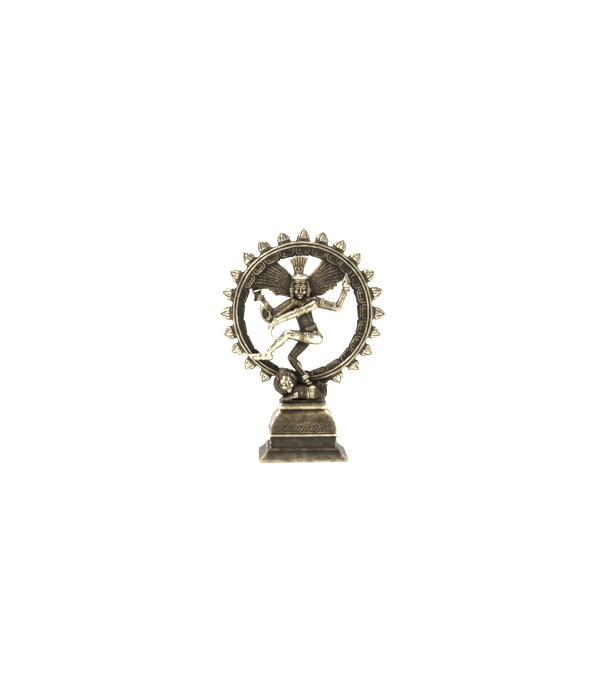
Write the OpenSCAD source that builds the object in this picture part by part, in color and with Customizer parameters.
// Small cast brass nataraja: a four-armed dancer on a dwarf, inside a ring of flames,
// standing on a hollow tiered pedestal. Millimetres, +Z up, the front faces -Y.
// The origin is the centre of the pedestal's underside.

/* [Pedestal] */
// Width of the flared foot
foot_w = 41.8; // [40:0.2:46]
// Depth of the flared foot
foot_d = 32; // [30:0.5:36]
// Height of the flared foot
foot_h = 5.6; // [5:0.1:7]
// Width of the waist block
waist_w = 31.4; // [30:0.2:34]
// Depth of the waist block
waist_d = 24; // [22:0.5:26]
// Height of the waist block
waist_h = 5.9; // [5:0.1:8]
// Height of the domed tier, with its lip
dome_h = 11.7; // [10:0.1:14]
// Width of the cushion-edged cap
cap_w = 22.8; // [21:0.2:26]
// Depth of the cushion-edged cap
cap_d = 16; // [15:0.5:18]
// Height of the cap
cap_h = 4.4; // [4:0.1:5.5]

/* [Ring] */
// Radius of the opening that the dancer stands in
opening_r = 27; // [24:0.5:30]
// Thickness of the ring, front to back
ring_t = 4.4; // [3.6:0.2:6]
// Height of the space for the dwarf, between the cap and the ring
dwarf_gap = 8; // [7.8:0.2:10]
// Length of a flame, from the ring to its tip
flame_l = 5.6; // [4:0.2:7]
// Width of a flame at its shoulders
flame_w = 6; // [4.5:0.1:6.6]
// How many flames a full ring would hold
flame_slots = 24; // [20:2:26]
// How many slots at the bottom stay empty
empty_slots = 3; // [3:2:5]

/* [Fixings] */
// Diameter of the stud that clamps the pedestal to the ring's stand
stud_d = 3; // [2.5:0.1:3]
// Diameter of the two ring pegs
peg_d = 2; // [1.6:0.1:2.4]

/* [Hidden] */

antique = "#6b5a34";
bright = "#d9c48a";
steel = "silver";

wall = 2.6;          // pedestal walls
gap = 0.05;          // clearance of pins and studs in their holes
far = 40;            // reach of a cutter that has to pass right through
fine = 48;           // facets of small round shapes
ring_fn = 96;        // facets of the ring
ball_fn = 14;        // facets of the balls that limbs are hulled from

// Pedestal levels
waist_z = foot_h;
dome_z = waist_z + waist_h;
cap_z = dome_z + dome_h;
cap_top = cap_z + cap_h;
roof_t = 2.4;        // thickness under the cap
ledge = 1.1;         // flat shelf between the foot's slope and the waist
cavity_w = waist_w - 2 * wall;
cavity_d = waist_d - 2 * wall;
lip_h = 1.1;         // rolled lip round the bottom of the dome
lip_out = 0.5;
dome_w = waist_w;
dome_d = waist_d;
dome_top_w = cap_w - 1.2;
dome_inset = (dome_w - dome_top_w) / 2;
dome_rise = dome_h - lip_h;
dome_arc = (dome_inset * dome_inset + dome_rise * dome_rise) / (2 * dome_inset);

// Ring
band_w = 6;
ring_r = opening_r + band_w;
ring_z = cap_top + dwarf_gap + ring_r;
relief = 0.5;        // how far the beads and scrolls stand out of the band
slot_a = 360 / flame_slots;

// The dancer is laid out on the ring's opening: sizes below are for a 27 mm opening.
k = opening_r / 27;
function at(x, y, z) = [x * k, y * k, ring_z + z * k];

pelvis = at(4.4, -2.2, -9.6);
belly = at(2.2, -2.4, -5.8);
waist = at(1, -2.4, -2.6);
chest = at(0.2, -2.4, 3.6);
neck = at(-0.5, -3, 7.2);
head_c = at(-0.8, -4, 11.6);

hip_r = at(6.6, -3, -12.4);
knee_r = at(-7.2, -8.2, -9.8);
ankle_r = at(-15, -6.6, -17.6);
heel_r = at(-15.4, -5.2, -19.8);
toe_r = at(-24.6, -4.1, -20.6);

hip_s = at(1.8, -2.6, -12.6);
knee_s = at(-5, -5.2, -21);
ankle_s = at(1.2, -5, -30.4);
back_h = 7.7;        // height of the dwarf's back, flattened under the dancer's foot
sole_s = cap_top + back_h - 0.4;

// Helpers -----------------------------------------------------------------

module ball(p, r) {
    translate(p) sphere(r, $fn = ball_fn);
}

// A chain of hulled balls. Each entry of path is [point, radius].
module limb(path) {
    for (i = [0 : len(path) - 2]) hull() {
        ball(path[i][0], path[i][1]);
        ball(path[i + 1][0], path[i + 1][1]);
    }
}

// A band round a limb: a short cylinder of radius r at p, facing along the line from a to b.
module band(p, a, b, r, w) {
    d = b - a;
    translate(p)
        rotate([0, acos(d[2] / norm(d)), atan2(d[1], d[0])])
            cylinder(r = r, h = w, center = true, $fn = 20);
}

function between(a, b, t) = a + (b - a) * t;

// A tier with mitred corners: outline is a list of [inset, height] up one side.
module tier(w, d, z, outline) {
    module slab(width, across)
        rotate([90, 0, 0]) linear_extrude(across, center = true)
            polygon(concat(
                [for (p = outline) [width / 2 - p[0], p[1]]],
                [for (i = [len(outline) - 1 : -1 : 0])
                    [outline[i][0] - width / 2, outline[i][1]]]));
    translate([0, 0, z]) intersection() {
        slab(w, d + far);
        rotate([0, 0, 90]) slab(d, w + far);
    }
}

module box(w, d, z0, z1) {
    translate([-w / 2, -d / 2, z0]) cube([w, d, z1 - z0]);
}

// A disc lying in the ring's plane
module ring_disc(r, t) {
    translate([0, 0, ring_z]) rotate([90, 0, 0])
        cylinder(r = r, h = t, center = true, $fn = ring_fn);
}

// Repeats its children at the ring's slots, with +Z pointing outwards
module round_ring(slots) {
    for (i = slots)
        translate([0, 0, ring_z]) rotate([0, i * slot_a, 0]) children();
}

// Pedestal ----------------------------------------------------------------

// A thick bottom edge, then a slope that steepens towards the ledge
module plinth_foot() {
    slope = min(foot_w - waist_w, foot_d - waist_d) / 2 - ledge;
    step = 0.5;
    edge_h = 1.5;
    color(antique) difference() {
        tier(foot_w, foot_d, 0, [
            [0.4, 0], [0, 0.4], [0, edge_h - 0.2], [step, edge_h],
            for (t = [0.25 : 0.25 : 1])
                [step + (slope - step) * sin(90 * t), edge_h + (foot_h - edge_h) * t]]);
        box(cavity_w, cavity_d, -1, foot_h + 1);
    }
}

module plinth_waist() {
    color(antique) difference() {
        tier(waist_w, waist_d, waist_z,
             [[0, 0], [0.35, 0.5], [0.35, waist_h - 0.6], [0, waist_h]]);
        box(cavity_w, cavity_d, waist_z - 1, dome_z + 1);
    }
}

// A zigzag line engraved along one face of the dome, which is `across` wide and
// `out` from the middle
module zigzag(across, out) {
    pitch = 1.3;
    rise = 1.5;
    stroke = 0.35;
    low = dome_z + lip_h + 0.7;
    n = floor((across - 5) / 2 / pitch) * 2;
    line = [for (i = [0 : n]) [(i - n / 2) * pitch, low + (i % 2) * rise]];
    translate([0, 0.35 - out, 0]) rotate([90, 0, 0]) linear_extrude(2)
        polygon(concat(line, [for (i = [n : -1 : 0]) line[i] + [0, stroke]]));
}

module pedestal_dome() {
    color(antique) difference() {
        tier(dome_w, dome_d, dome_z, [
            [0, 0], [-lip_out, 0.3], [-lip_out, 0.8], [0, lip_h],
            for (t = [0.125 : 0.125 : 1])
                [dome_arc - sqrt(dome_arc * dome_arc - pow(dome_rise * t, 2)), lip_h + dome_rise * t]]);
        tier(cavity_w, cavity_d, dome_z, [
            [0, -1], [0, 3],
            [(cavity_w - cap_w) / 2 + 2, dome_h - roof_t]]);
        translate([0, 0, dome_z]) cylinder(d = stud_d + 2 * gap, h = dome_h + 1, $fn = fine);
        for (a = [0, 180]) {
            rotate([0, 0, a]) zigzag(dome_w, dome_d / 2);
            rotate([0, 0, a + 90]) zigzag(dome_d, dome_w / 2);
        }
    }
}

// A slab with a swollen edge and a low step on top
module pedestal_cap() {
    step_h = 1;
    half = (cap_h - step_h) / 2;
    swell = 0.95;
    color(bright) difference() {
        tier(cap_w, cap_d, cap_z, [
            [swell, 0],
            for (a = [-60 : 30 : 60]) [swell * (1 - cos(a)), half * (1 + sin(a))],
            [1.2, 2 * half + 0.3], [1.2, cap_h]]);
        translate([0, 0, cap_z - 1]) cylinder(d = stud_d + 2 * gap, h = cap_h + 2, $fn = fine);
        pegs(peg_d + 2 * gap);
        dancer_peg(2 * gap);
    }
}

// Fixings -----------------------------------------------------------------

stud_up = 3;          // how far the stud reaches into the ring's stand
stud_spare = 0.8;     // thread left below the nut
washer_d = 7;
washer_t = 0.6;
nut_af = 5.5;         // across the nut's flats
nut_t = 2.4;
roof_z = cap_z - roof_t;
nut_z = roof_z - washer_t - nut_t;

module fixing_stud() {
    low = nut_z - stud_spare;
    color(steel) translate([0, 0, low])
        cylinder(d = stud_d, h = cap_top + stud_up - low, $fn = fine);
}

module fixing_washer() {
    color(steel) translate([0, 0, roof_z - washer_t]) difference() {
        cylinder(d = washer_d, h = washer_t, $fn = fine);
        translate([0, 0, -1]) cylinder(d = stud_d + 4 * gap, h = washer_t + 2, $fn = fine);
    }
}

module fixing_nut() {
    color(steel) translate([0, 0, nut_z]) difference() {
        cylinder(d = nut_af / cos(30), h = nut_t, $fn = 6);
        translate([0, 0, -1]) cylinder(d = stud_d + 2 * gap, h = nut_t + 2, $fn = fine);
    }
}

peg_x = 5;            // the pegs stand at this distance on each side of the stud
peg_deep = 2.6;

module pegs(d) {
    for (x = [-peg_x, peg_x])
        translate([x, 0, cap_top - peg_deep])
            cylinder(d = d, h = 2 * peg_deep, $fn = fine);
}

module ring_pegs() {
    color(antique) pegs(peg_d);
}

// The pin runs from the cap through the dwarf into the foot that the dancer stands on
pin_d = 1.5;
pin_deep = 2.5;

module dancer_peg(extra = 0) {
    translate([ankle_s[0] + 0.9, ankle_s[1], cap_top - pin_deep])
        cylinder(d = pin_d + extra, h = sole_s + 1.2 - cap_top + pin_deep, $fn = fine);
}

module dancer_pin() {
    color(antique) dancer_peg();
}

// Ring --------------------------------------------------------------------

stand_w = 15;

module ring_stand() {
    color(antique) difference() {
        translate([-stand_w / 2, -ring_t / 2, cap_top])
            cube([stand_w, ring_t, dwarf_gap + 3]);
        ring_disc(ring_r, ring_t + 2);
        translate([0, 0, cap_top - 1]) cylinder(d = stud_d + 2 * gap, h = stud_up + 1.1, $fn = fine);
        pegs(peg_d + 2 * gap);
    }
}

module ring_band() {
    half = ring_t / 2;
    color(antique) translate([0, 0, ring_z]) rotate([90, 0, 0])
        rotate_extrude($fn = ring_fn) polygon([
            [opening_r, -half + 0.5], [opening_r, half - 0.9], [opening_r + 0.9, half - 0.2],
            [ring_r - 3, half - 0.2], [ring_r - 2.8, half], [ring_r - 0.4, half],
            [ring_r, half - 0.5], [ring_r, -half + 0.5], [ring_r - 0.4, -half],
            [opening_r + 0.5, -half]]);
}

// Two beads that run round the front face
module ring_beading() {
    color(bright) translate([0, -ring_t / 2, ring_z]) rotate([90, 0, 0])
        for (r = [ring_r - 2.25, ring_r - 0.8])
            rotate_extrude($fn = ring_fn) translate([r, 0])
                intersection() {
                    circle(relief, $fn = 16);
                    translate([-1, 0]) square(2);
                }
}

// An oblong with its corners cut off at 45 degrees
module plate(w, h, cut) {
    x = w / 2;
    z = h / 2;
    polygon([[cut - x, -z], [x - cut, -z], [x, cut - z], [x, z - cut],
             [x - cut, z], [cut - x, z], [-x, z - cut], [-x, cut - z]]);
}

// One cartouche: a raised U, open towards the beading, round an oblong boss
module scroll() {
    w = 0.8 * slot_a * PI / 180 * (opening_r + 1);
    h = 2.6;
    ridge = 0.5;
    translate([0, -ring_t / 2, opening_r + 1.9]) rotate([90, 0, 0]) linear_extrude(relief) {
        difference() {
            plate(w, h, 0.8);
            translate([0, ridge]) plate(w - 2 * ridge, h, 0.5);
        }
        translate([0, 0.2]) plate(w - 5 * ridge, 0.8, 0.35);
    }
}

module ring_scrolls() {
    color(antique) round_ring([0 : flame_slots - 1]) scroll();
}

// A bud of flame: round shoulders that swell front and back, and a pointed tip
module flame() {
    swell = ring_t / 2 - 0.6;
    shoulder = 0.9;
    tip = 0.3;
    root = 0.1;
    translate([0, 0, ring_r - root]) difference() {
        hull() {
            for (s = [-1, 1]) {
                translate([s * (flame_w / 2 - shoulder), 0, 1.3])
                    rotate([90, 0, 0]) cylinder(r = shoulder, h = swell, center = true, $fn = 10);
                translate([s, 0, 1.5]) sphere(swell, $fn = 8);
            }
            translate([0, 0, flame_l + root - tip]) sphere(tip, $fn = 6);
            translate([0, 0, root]) cube([flame_w - 2.4, 2 * swell, 2 * root], center = true);
        }
        rotate([90, 0, 0]) translate([0, root - ring_r, 0])
            cylinder(r = ring_r, h = ring_t + 2, center = true, $fn = ring_fn);
    }
}

module ring_flames() {
    skip = (empty_slots - 1) / 2;
    first = floor(flame_slots / 2) - skip;
    color(bright) round_ring([for (i = [0 : flame_slots - 1])
        if (i < first || i > first + 2 * skip) i]) flame();
}

// Dwarf -------------------------------------------------------------------

// The dwarf lies on its front along the front edge of the cap. Its points are given
// from the middle of the cap's top edge, under the dwarf's own axis.
dwarf_y = -ring_t / 2 - 3.6;
function on_cap(x, y, z) = [x, dwarf_y + y, cap_top + z];

module dwarf_trunk() {
    intersection() {
        limb([[on_cap(-3.6, 0, 3.8), 3.2], [on_cap(0.6, 0, 3.9), 3.5], [on_cap(4.8, 0, 3.9), 3.8]]);
        translate(on_cap(-far / 2, -10, 0)) cube([far, 10 - dwarf_y - ring_t / 2, back_h]);
    }
}

// Everything under the cap's top and behind the ring's front, as a cutter
module under_dwarf() {
    translate([-far / 2, -far / 2, cap_top - 10]) cube([far, far, 10]);
    translate([-far / 2, -ring_t / 2, cap_top]) cube([far, far / 2, dwarf_gap + 3]);
}

module dwarf_body() {
    color(antique) difference() {
        dwarf_trunk();
        dancer_peg(2 * gap);
    }
}

module dwarf_head_form() {
    hull() {
        ball(on_cap(-7.2, -0.6, 9), 3.6);
        ball(on_cap(-6.2, -1.4, 6.6), 2.7);
        ball(on_cap(-8.2, 0.6, 7.6), 3.4);
    }
}

module dwarf_head() {
    color(antique) difference() {
        dwarf_head_form();
        dwarf_trunk();
        ring_solid();
    }
}

module dwarf_arms() {
    color(antique) difference() {
        limb([[on_cap(-4.2, -1.5, 3), 1.6], [on_cap(-8.4, -1, 1.5), 1.3],
              [on_cap(-5.6, -3.6, 1.1), 1.1], [on_cap(-2.6, -3.9, 1.4), 1]]);
        dwarf_trunk();
        dwarf_head_form();
        under_dwarf();
    }
}

module dwarf_legs() {
    color(antique) difference() {
        limb([[on_cap(6, -0.6, 3.4), 2.8], [on_cap(10, -0.4, 2.2), 1.9],
              [on_cap(11, 1, 6.4), 1.3], [on_cap(9.4, 0.6, 8.2), 1]]);
        dwarf_trunk();
        ring_solid();
        under_dwarf();
    }
}

// The ring with its relief filled in, as a cutter
module ring_solid() {
    difference() {
        ring_disc(ring_r + gap, ring_t + 2 * relief);
        ring_disc(opening_r - gap, ring_t + 3);
    }
}

// Dancer's body -----------------------------------------------------------

module torso_form() {
    hull() {
        ball(at(-2.6, -2.2, 4), 3 * k);
        ball(at(3.4, -2.2, 4.2), 3 * k);
        ball(waist + [0, 0, 1.2 * k], 3.5 * k);
    }
    limb([[waist, 3.6 * k], [belly, 3.8 * k], [pelvis, 3.8 * k]]);
    limb([[at(-0.2, -2.6, 5.6), 1.9 * k], [neck, 1.6 * k]]);
}

module hip_form() {
    limb([[pelvis, 4 * k], [hip_r, 3.3 * k], [between(hip_r, knee_r, 0.35), 3 * k]]);
    limb([[pelvis, 3.9 * k], [hip_s, 3.1 * k]]);
}

module torso() {
    color(antique) difference() {
        torso_form();
        hip_form();
        head_form();
    }
}

module hip_cloth() {
    color(bright) hip_form();
}

module girdle_form() {
    a = between(belly, pelvis, 0.45);
    band(a, belly, pelvis, 4.4 * k, 1.5 * k);
}

module girdle() {
    color(bright) difference() {
        girdle_form();
        torso_form();
        hip_form();
    }
}

module necklace_form() {
    translate(at(-0.3, -3.2, 5.6)) rotate([24, 0, 0])
        rotate_extrude($fn = 24) translate([2.1 * k, 0]) circle(0.5 * k, $fn = 8);
}

module necklace() {
    color(bright) difference() {
        necklace_form();
        torso_form();
        head_form();
        arm_form(crossing);
    }
}

// Legs --------------------------------------------------------------------

module standing_form() {
    limb([[hip_s, 2.9 * k], [knee_s, 2.1 * k]]);
    limb([[knee_s, 2.2 * k], [between(knee_s, ankle_s, 0.35), 2 * k], [ankle_s, 1.5 * k]]);
    limb([[[ankle_s[0] - 0.3, ankle_s[1] + 0.2, sole_s + 1.3], 1.3],
          [[ankle_s[0] + 2, ankle_s[1] - 1.8, sole_s + 1.1], 1.1],
          [[ankle_s[0] + 3.6, ankle_s[1] - 3.4, sole_s + 0.7], 0.7]]);
    limb([[ankle_s, 1.5 * k], [[ankle_s[0], ankle_s[1], sole_s + 1.5], 1.4]]);
}

module standing_leg() {
    color(antique) difference() {
        standing_form();
        hip_form();
        dwarf_trunk();
        dancer_peg(2 * gap);
        ring_solid();
    }
}

module raised_form() {
    limb([[between(hip_r, knee_r, 0.2), 2.8 * k], [knee_r, 2.2 * k],
          [between(knee_r, ankle_r, 0.35), 2 * k], [ankle_r, 1.25 * k], [heel_r, 1.25 * k]]);
    limb([[heel_r, 1.2 * k], [between(heel_r, toe_r, 0.5), 1.3 * k], [toe_r, 0.8 * k]]);
}

module raised_leg() {
    color(bright) difference() {
        raised_form();
        hip_form();
        ring_solid();
    }
}

module anklet(p, a, b) {
    band(p, a, b, 1.75 * k, 1 * k);
}

module anklets() {
    color(bright) {
        difference() {
            anklet(ankle_s, ankle_s, knee_s);
            standing_form();
            ring_solid();
        }
        difference() {
            anklet(between(knee_r, ankle_r, 0.92), ankle_r, knee_r);
            raised_form();
        }
    }
}

// Arms --------------------------------------------------------------------

// Each arm is a path of [point, radius]; its wrist comes before its hand
crossing = [[at(6, -3, 4), 2.2], [at(4, -6, 2.8), 2], [at(-5, -7, -0.8), 2],
            [at(-13.4, -7.6, -4.4), 1.4], [at(-15.3, -7.8, -8), 1.1],
            [at(-14.6, -8, -10.6), 0.8], [at(-12.9, -8, -12.2), 0.6]];
blessing = [[at(-5.2, -3.6, 2.6), 1.9], [at(-13.4, -4.8, -2.8), 1.6],
            [at(-16.8, -5.6, 0.4), 1.05], [at(-17.6, -5.8, 2), 1.1], [at(-18.4, -5.8, 4), 0.7]];
drumming = [[at(-4.4, -1.6, 4.6), 2.4], [at(-13.4, -1.2, -0.6), 1.9],
            [at(-17.6, -1.2, 4.4), 1.15], [at(-18.8, -1.2, 6), 1.3]];
flaming = [[at(6, -1.8, 5), 2.5], [at(16.2, -1.8, 1.8), 1.9],
           [at(20, -1.9, 9.2), 1.25], [at(20.8, -2, 11.6), 1.7]];

module arm_form(path) {
    limb([for (p = path) [p[0], p[1] * k]]);
}

module cuff(path, i, t, r, w) {
    band(between(path[i][0], path[i + 1][0], t), path[i][0], path[i + 1][0], r * k, w * k);
}

module armlet_forms() {
    cuff(flaming, 0, 0.28, 2.75, 1.1);
    cuff(flaming, 0, 0.86, 2.4, 1);
    cuff(crossing, 1, 0.72, 2.25, 1.2);
}

module bracelet_forms() {
    cuff(crossing, 2, 0.93, 1.75, 1.3);
    cuff(blessing, 1, 0.72, 1.5, 0.8);
    cuff(drumming, 1, 0.86, 1.55, 0.8);
    cuff(flaming, 1, 0.92, 1.65, 0.9);
}

module crossing_arm() {
    color(bright) difference() {
        arm_form(crossing);
        torso_form();
        raised_form();
    }
}

module drum_arm() {
    color(antique) difference() {
        arm_form(drumming);
        torso_form();
        drum_form();
    }
}

module blessing_arm() {
    color(antique) difference() {
        arm_form(blessing);
        torso_form();
        arm_form(drumming);
        arm_form(crossing);
    }
}

module flame_arm() {
    color(bright) difference() {
        arm_form(flaming);
        torso_form();
        arm_form(crossing);
        ring_solid();
    }
}

module all_arms() {
    for (path = [crossing, blessing, drumming, flaming]) arm_form(path);
}

module bracelets() {
    color(bright) difference() {
        bracelet_forms();
        all_arms();
        ring_solid();
    }
}

module armlets() {
    color(bright) difference() {
        armlet_forms();
        all_arms();
        torso_form();
    }
}

// Things in the hands -----------------------------------------------------

drum_c = at(-20.2, -1.2, 7.6);

module drum_form() {
    translate(drum_c) rotate([0, -8, 0]) {
        for (s = [0, 1]) mirror([0, 0, s])
            cylinder(r1 = 1.3 * k, r2 = 2.3 * k, h = 2.2 * k, $fn = 20);
        for (s = [0, 1]) mirror([0, 0, s]) translate([0, 0, 2.2 * k])
            cylinder(r = 2.5 * k, h = 0.5 * k, $fn = 20);
    }
}

module hand_drum() {
    color(antique) drum_form();
}

module hand_flame() {
    base = at(20.8, -3.4, 12.6);
    color(bright) difference() {
        union() {
            translate(base) cylinder(r1 = 1 * k, r2 = 2 * k, h = 1.1 * k, $fn = 20);
            translate(base + [0, 0, 1.1 * k]) {
                sphere(1.5 * k, $fn = 20);
                translate([0, 0, 0.8 * k]) cylinder(r1 = 1.27 * k, r2 = 0.2 * k, h = 4 * k, $fn = 20);
            }
        }
        arm_form(flaming);
        ring_solid();
    }
}

// A cobra that loops up beside the blessing hand
cobra_path = [at(-15.6, -7, -3.6), at(-17.8, -7, -2.6), at(-19.2, -6.8, 0), at(-19.7, -6.6, 2.2),
              at(-19.2, -6.4, 3.8)];

module cobra_form() {
    limb([for (i = [0 : 4]) [cobra_path[i], (0.6 + (i == 3 ? 0.25 : 0)) * k]]);
}

module cobra() {
    color(bright) difference() {
        cobra_form();
        all_arms();
        bracelet_forms();
    }
}

// Head --------------------------------------------------------------------

module head_form() {
    hull() {
        ball(head_c + [0, 0.3, 0.8] * k, 3.5 * k);
        ball(head_c + [0, -0.9, -2.9] * k, 1.9 * k);
    }
}

brim_z = head_c[2] + 3.9 * k;

module head() {
    color(bright) difference() {
        head_form();
        translate([head_c[0], head_c[1], brim_z]) cylinder(r = 8 * k, h = 8 * k, $fn = fine);
        fan_web();
    }
}

module earring_forms() {
    for (s = [-1, 1])
        translate(head_c + [s * 4, 0, -0.6] * k) sphere(0.9 * k, $fn = 10);
}

module earrings() {
    color(bright) difference() {
        earring_forms();
        head_form();
        fan_web();
    }
}

module crown_brim() {
    color(bright) translate([head_c[0], head_c[1], brim_z]) {
        cylinder(r = 3.9 * k, h = 0.6 * k, $fn = 32);
        translate([0, 0, 0.6 * k]) cylinder(r1 = 4.3 * k, r2 = 3.7 * k, h = 1 * k, $fn = 32);
        translate([0, 0, 1.6 * k]) cylinder(r1 = 3.2 * k, r2 = 2.4 * k, h = 0.7 * k, $fn = 32);
    }
}

plume_z = brim_z + 2.3 * k;
plume_h = ring_z + opening_r - 0.4 - plume_z;

// Seven tall feathers that fan out from a collar
module crown_plume() {
    base = [head_c[0] - 0.3, head_c[1] + 0.6 * k, plume_z];
    color(bright) {
        translate(base) cylinder(r = 2.3 * k, h = 1.2 * k, $fn = 24);
        for (i = [-3 : 3])
            hull() {
                translate(base + [i * 0.5, 0, 1] * k) sphere(0.8 * k, $fn = 10);
                translate(base + [i * 1.05 * k, 0, plume_h - 1.2 * k - abs(i) * 0.12])
                    sphere(0.75 * k, $fn = 10);
            }
    }
}

// The web of hair on each side, cut to the ring's opening
fan_t = 1.8;
fan_y = -0.2;

module fan_plate(outline) {
    translate([0, fan_y, 0]) rotate([90, 0, 0]) linear_extrude(fan_t, center = true)
        translate([0, ring_z]) polygon([for (p = outline) p * k]);
}

fan_left = [[-3, 15], [-8.5, 19.6], [-11.8, 22.6], [-14, 25], [-21, 17.4], [-23, 13], [-18.6, 11.3],
            [-14.9, 11.6], [-13.4, 9], [-5, 7.6], [-3, 9]];
fan_right = [[1.5, 14.4], [4.6, 18.4], [9, 24], [11, 25.6], [18.4, 20], [22.6, 15], [18.2, 14.8],
             [16.4, 13.4], [13, 9.6], [5.4, 7.8], [1.5, 9]];

module fan_web() {
    fan_plate(fan_left);
    fan_plate(fan_right);
}

module hair_fan(outline) {
    color(antique) difference() {
        intersection() {
            fan_plate(outline);
            ring_disc(opening_r, far);
        }
        arm_form(flaming);
        torso_form();
        drum_form();
    }
}

module hair_fan_left() {
    hair_fan(fan_left);
}

module hair_fan_right() {
    hair_fan(fan_right);
}

plinth_foot();
plinth_waist();
pedestal_dome();
pedestal_cap();
fixing_stud();
fixing_washer();
fixing_nut();
ring_stand();
ring_pegs();
ring_band();
ring_beading();
ring_scrolls();
ring_flames();
dwarf_body();
dwarf_head();
dwarf_arms();
dwarf_legs();
torso();
hip_cloth();
girdle();
necklace();
standing_leg();
raised_leg();
anklets();
crossing_arm();
blessing_arm();
drum_arm();
flame_arm();
bracelets();
armlets();
hand_drum();
hand_flame();
cobra();
head();
earrings();
crown_brim();
crown_plume();
hair_fan_left();
hair_fan_right();
dancer_pin();
